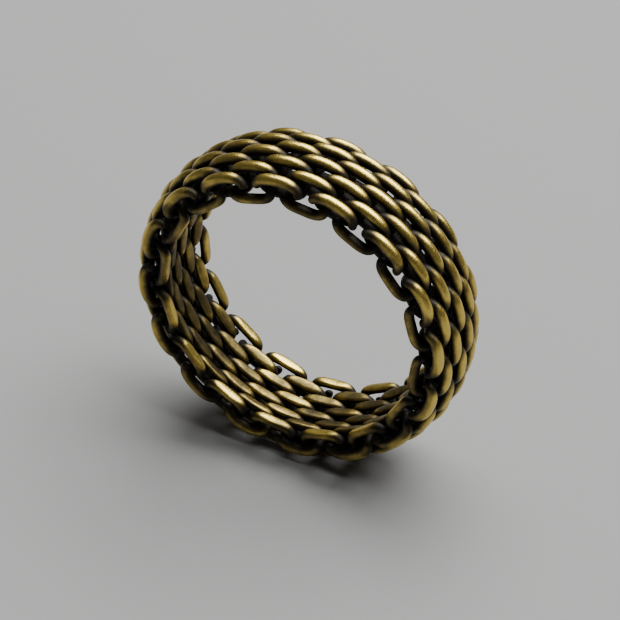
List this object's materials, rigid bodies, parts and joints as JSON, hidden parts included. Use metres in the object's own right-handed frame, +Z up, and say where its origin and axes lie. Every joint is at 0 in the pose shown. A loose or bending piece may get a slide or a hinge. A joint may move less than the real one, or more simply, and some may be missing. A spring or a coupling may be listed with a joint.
{
  "type": "woven mesh finger ring",
  "caption": "Flexible finger ring of flattened wire coils hooked side by side into a closed chain-link mesh band, in antique brass.",
  "frame": {"origin": "centre of the finger hole, halfway between the ring's front and back edges", "axes": "+Y along the finger hole from the front edge to the back edge, +Z up with the ring standing on its rim, +X to the right as seen from the front"},
  "size_m": [0.0222, 0.006, 0.0222],
  "materials": {
    "antique_brass": "satin"
  },
  "bodies": {
    "coil_01": {"coil_01": "antique_brass"},
    "coil_02": {"coil_02": "antique_brass"},
    "coil_03": {"coil_03": "antique_brass"},
    "coil_04": {"coil_04": "antique_brass"},
    "coil_05": {"coil_05": "antique_brass"},
    "coil_06": {"coil_06": "antique_brass"},
    "coil_07": {"coil_07": "antique_brass"},
    "coil_08": {"coil_08": "antique_brass"},
    "coil_09": {"coil_09": "antique_brass"},
    "coil_10": {"coil_10": "antique_brass"},
    "coil_11": {"coil_11": "antique_brass"},
    "coil_12": {"coil_12": "antique_brass"},
    "coil_13": {"coil_13": "antique_brass"},
    "coil_14": {"coil_14": "antique_brass"},
    "coil_15": {"coil_15": "antique_brass"},
    "coil_16": {"coil_16": "antique_brass"},
    "coil_17": {"coil_17": "antique_brass"},
    "coil_18": {"coil_18": "antique_brass"},
    "coil_19": {"coil_19": "antique_brass"},
    "coil_20": {"coil_20": "antique_brass"},
    "coil_21": {"coil_21": "antique_brass"},
    "coil_22": {"coil_22": "antique_brass"},
    "coil_23": {"coil_23": "antique_brass"},
    "coil_24": {"coil_24": "antique_brass"},
    "coil_25": {"coil_25": "antique_brass"},
    "coil_26": {"coil_26": "antique_brass"},
    "coil_27": {"coil_27": "antique_brass"},
    "coil_28": {"coil_28": "antique_brass"},
    "coil_29": {"coil_29": "antique_brass"},
    "coil_30": {"coil_30": "antique_brass"},
    "coil_31": {"coil_31": "antique_brass"},
    "coil_32": {"coil_32": "antique_brass"}
  },
  "joints": [
    {"name": "hinge_17_18", "type": "hinge", "parent": "coil_17", "child": "coil_18", "pos_m": [0, 0, -0.00978], "axis": [0, 1, 0], "range_deg": [-4, 4]},
    {"name": "hinge_18_19", "type": "hinge", "parent": "coil_18", "child": "coil_19", "pos_m": [-0.00191, 0, -0.00959], "axis": [0, 1, 0], "range_deg": [-4.01, 4.01]},
    {"name": "hinge_19_20", "type": "hinge", "parent": "coil_19", "child": "coil_20", "pos_m": [-0.00374, 0, -0.00904], "axis": [0, 1, 0], "range_deg": [-3.41, 3.41]},
    {"name": "hinge_20_21", "type": "hinge", "parent": "coil_20", "child": "coil_21", "pos_m": [-0.00543, 0, -0.00813], "axis": [0, 1, 0], "range_deg": [-2.28, 2.28]},
    {"name": "hinge_21_22", "type": "hinge", "parent": "coil_21", "child": "coil_22", "pos_m": [-0.00692, 0, -0.00692], "axis": [0, 1, 0], "range_deg": [-0.81, 0.81]},
    {"name": "hinge_22_23", "type": "hinge", "parent": "coil_22", "child": "coil_23", "pos_m": [-0.00813, 0, -0.00543], "axis": [0, 1, 0], "range_deg": [-0.81, 0.81]},
    {"name": "hinge_23_24", "type": "hinge", "parent": "coil_23", "child": "coil_24", "pos_m": [-0.00904, 0, -0.00374], "axis": [0, 1, 0], "range_deg": [-2.28, 2.28]},
    {"name": "hinge_24_25", "type": "hinge", "parent": "coil_24", "child": "coil_25", "pos_m": [-0.00959, 0, -0.00191], "axis": [0, 1, 0], "range_deg": [-3.41, 3.41]},
    {"name": "hinge_25_26", "type": "hinge", "parent": "coil_25", "child": "coil_26", "pos_m": [-0.00978, 0, 0], "axis": [0, 1, 0], "range_deg": [-4.01, 4.01]},
    {"name": "hinge_26_27", "type": "hinge", "parent": "coil_26", "child": "coil_27", "pos_m": [-0.00959, 0, 0.00191], "axis": [0, 1, 0], "range_deg": [-4.01, 4.01]},
    {"name": "hinge_27_28", "type": "hinge", "parent": "coil_27", "child": "coil_28", "pos_m": [-0.00904, 0, 0.00374], "axis": [0, 1, 0], "range_deg": [-3.41, 3.41]},
    {"name": "hinge_28_29", "type": "hinge", "parent": "coil_28", "child": "coil_29", "pos_m": [-0.00813, 0, 0.00543], "axis": [0, 1, 0], "range_deg": [-2.28, 2.28]},
    {"name": "hinge_29_30", "type": "hinge", "parent": "coil_29", "child": "coil_30", "pos_m": [-0.00692, 0, 0.00692], "axis": [0, 1, 0], "range_deg": [-0.81, 0.81]},
    {"name": "hinge_30_31", "type": "hinge", "parent": "coil_30", "child": "coil_31", "pos_m": [-0.00543, 0, 0.00813], "axis": [0, 1, 0], "range_deg": [-0.81, 0.81]},
    {"name": "hinge_31_32", "type": "hinge", "parent": "coil_31", "child": "coil_32", "pos_m": [-0.00374, 0, 0.00904], "axis": [0, 1, 0], "range_deg": [-2.28, 2.28]},
    {"name": "hinge_16_17", "type": "hinge", "parent": "coil_17", "child": "coil_16", "pos_m": [0.00191, 0, -0.00959], "axis": [0, 1, 0], "range_deg": [-3.41, 3.41]},
    {"name": "hinge_15_16", "type": "hinge", "parent": "coil_16", "child": "coil_15", "pos_m": [0.00374, 0, -0.00904], "axis": [0, 1, 0], "range_deg": [-2.28, 2.28]},
    {"name": "hinge_14_15", "type": "hinge", "parent": "coil_15", "child": "coil_14", "pos_m": [0.00543, 0, -0.00813], "axis": [0, 1, 0], "range_deg": [-0.81, 0.81]},
    {"name": "hinge_13_14", "type": "hinge", "parent": "coil_14", "child": "coil_13", "pos_m": [0.00692, 0, -0.00692], "axis": [0, 1, 0], "range_deg": [-0.81, 0.81]},
    {"name": "hinge_12_13", "type": "hinge", "parent": "coil_13", "child": "coil_12", "pos_m": [0.00813, 0, -0.00543], "axis": [0, 1, 0], "range_deg": [-2.28, 2.28]},
    {"name": "hinge_11_12", "type": "hinge", "parent": "coil_12", "child": "coil_11", "pos_m": [0.00904, 0, -0.00374], "axis": [0, 1, 0], "range_deg": [-3.41, 3.41]},
    {"name": "hinge_10_11", "type": "hinge", "parent": "coil_11", "child": "coil_10", "pos_m": [0.00959, 0, -0.00191], "axis": [0, 1, 0], "range_deg": [-4.01, 4.01]},
    {"name": "hinge_09_10", "type": "hinge", "parent": "coil_10", "child": "coil_09", "pos_m": [0.00978, 0, 0], "axis": [0, 1, 0], "range_deg": [-4.01, 4.01]},
    {"name": "hinge_08_09", "type": "hinge", "parent": "coil_09", "child": "coil_08", "pos_m": [0.00959, 0, 0.00191], "axis": [0, 1, 0], "range_deg": [-3.41, 3.41]},
    {"name": "hinge_07_08", "type": "hinge", "parent": "coil_08", "child": "coil_07", "pos_m": [0.00904, 0, 0.00374], "axis": [0, 1, 0], "range_deg": [-2.28, 2.28]},
    {"name": "hinge_06_07", "type": "hinge", "parent": "coil_07", "child": "coil_06", "pos_m": [0.00813, 0, 0.00543], "axis": [0, 1, 0], "range_deg": [-0.81, 0.81]},
    {"name": "hinge_05_06", "type": "hinge", "parent": "coil_06", "child": "coil_05", "pos_m": [0.00692, 0, 0.00692], "axis": [0, 1, 0], "range_deg": [-0.81, 0.81]},
    {"name": "hinge_04_05", "type": "hinge", "parent": "coil_05", "child": "coil_04", "pos_m": [0.00543, 0, 0.00813], "axis": [0, 1, 0], "range_deg": [-2.28, 2.28]},
    {"name": "hinge_03_04", "type": "hinge", "parent": "coil_04", "child": "coil_03", "pos_m": [0.00374, 0, 0.00904], "axis": [0, 1, 0], "range_deg": [-3.41, 3.41]},
    {"name": "hinge_02_03", "type": "hinge", "parent": "coil_03", "child": "coil_02", "pos_m": [0.00191, 0, 0.00959], "axis": [0, 1, 0], "range_deg": [-4.01, 4.01]},
    {"name": "hinge_01_02", "type": "hinge", "parent": "coil_02", "child": "coil_01", "pos_m": [0, 0, 0.00978], "axis": [0, 1, 0], "range_deg": [-4.01, 4.01]}
  ],
  "couplings": [
    {"joint": "hinge_18_19", "follows": "hinge_17_18", "ratio": 1},
    {"joint": "hinge_19_20", "follows": "hinge_17_18", "ratio": 0.84776},
    {"joint": "hinge_20_21", "follows": "hinge_17_18", "ratio": 0.56645},
    {"joint": "hinge_21_22", "follows": "hinge_17_18", "ratio": 0.19891},
    {"joint": "hinge_22_23", "follows": "hinge_17_18", "ratio": -0.19891},
    {"joint": "hinge_23_24", "follows": "hinge_17_18", "ratio": -0.56645},
    {"joint": "hinge_24_25", "follows": "hinge_17_18", "ratio": -0.84776},
    {"joint": "hinge_25_26", "follows": "hinge_17_18", "ratio": -1},
    {"joint": "hinge_26_27", "follows": "hinge_17_18", "ratio": -1},
    {"joint": "hinge_27_28", "follows": "hinge_17_18", "ratio": -0.84776},
    {"joint": "hinge_28_29", "follows": "hinge_17_18", "ratio": -0.56645},
    {"joint": "hinge_29_30", "follows": "hinge_17_18", "ratio": -0.19891},
    {"joint": "hinge_30_31", "follows": "hinge_17_18", "ratio": 0.19891},
    {"joint": "hinge_31_32", "follows": "hinge_17_18", "ratio": 0.56645},
    {"joint": "hinge_16_17", "follows": "hinge_17_18", "ratio": -0.84776},
    {"joint": "hinge_15_16", "follows": "hinge_17_18", "ratio": -0.56645},
    {"joint": "hinge_14_15", "follows": "hinge_17_18", "ratio": -0.19891},
    {"joint": "hinge_13_14", "follows": "hinge_17_18", "ratio": 0.19891},
    {"joint": "hinge_12_13", "follows": "hinge_17_18", "ratio": 0.56645},
    {"joint": "hinge_11_12", "follows": "hinge_17_18", "ratio": 0.84776},
    {"joint": "hinge_10_11", "follows": "hinge_17_18", "ratio": 1},
    {"joint": "hinge_09_10", "follows": "hinge_17_18", "ratio": 1},
    {"joint": "hinge_08_09", "follows": "hinge_17_18", "ratio": 0.84776},
    {"joint": "hinge_07_08", "follows": "hinge_17_18", "ratio": 0.56645},
    {"joint": "hinge_06_07", "follows": "hinge_17_18", "ratio": 0.19891},
    {"joint": "hinge_05_06", "follows": "hinge_17_18", "ratio": -0.19891},
    {"joint": "hinge_04_05", "follows": "hinge_17_18", "ratio": -0.56645},
    {"joint": "hinge_03_04", "follows": "hinge_17_18", "ratio": -0.84776},
    {"joint": "hinge_02_03", "follows": "hinge_17_18", "ratio": -1},
    {"joint": "hinge_01_02", "follows": "hinge_17_18", "ratio": -1}
  ]
}
